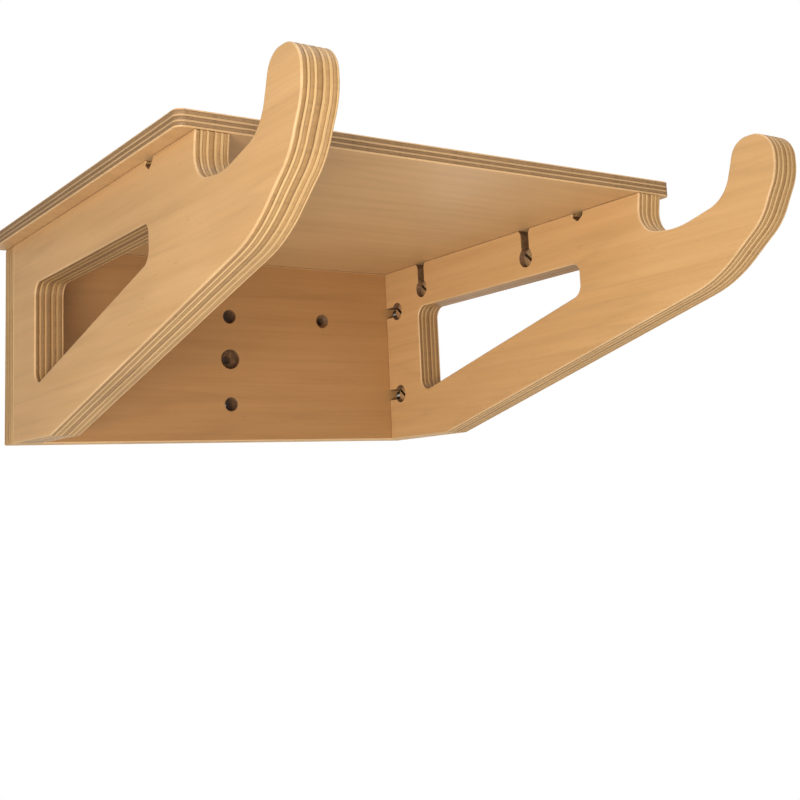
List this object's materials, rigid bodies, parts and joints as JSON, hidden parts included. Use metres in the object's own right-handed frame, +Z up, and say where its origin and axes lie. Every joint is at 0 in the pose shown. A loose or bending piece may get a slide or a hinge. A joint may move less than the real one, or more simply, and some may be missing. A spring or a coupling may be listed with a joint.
{
  "type": "bicycle wall rack",
  "caption": "Plywood wall rack with two hooked side plates that cradle a bicycle's top tube, a back panel with wall holes and a flat shelf on top.",
  "frame": {"origin": "middle wall hole of the back panel, at the wall plane, on the centre line", "axes": "+Z up, the rack reaches forward from the wall along -Y, +X to the right seen from in front of the wall"},
  "size_m": [0.318, 0.391, 0.1375],
  "materials": {
    "birch_plywood": "satin clear coat",
    "birch_plywood_shelf": "satin clear coat",
    "zinc_steel": "zinc plated"
  },
  "bodies": {
    "root": {"back_panel": "birch_plywood", "shelf": "birch_plywood_shelf", "side_plate_left": "birch_plywood", "side_plate_right": "birch_plywood", "shelf_bolt_left_rear": "zinc_steel", "shelf_bolt_left_front": "zinc_steel", "shelf_bolt_right_rear": "zinc_steel", "shelf_bolt_right_front": "zinc_steel", "back_bolt_left_low": "zinc_steel", "back_bolt_left_high": "zinc_steel", "back_bolt_right_low": "zinc_steel", "back_bolt_right_high": "zinc_steel", "shelf_nut_left_rear": "zinc_steel", "shelf_nut_left_front": "zinc_steel", "shelf_nut_right_rear": "zinc_steel", "shelf_nut_right_front": "zinc_steel", "back_nut_left_low": "zinc_steel", "back_nut_left_high": "zinc_steel", "back_nut_right_low": "zinc_steel", "back_nut_right_high": "zinc_steel"}
  },
  "joints": []
}
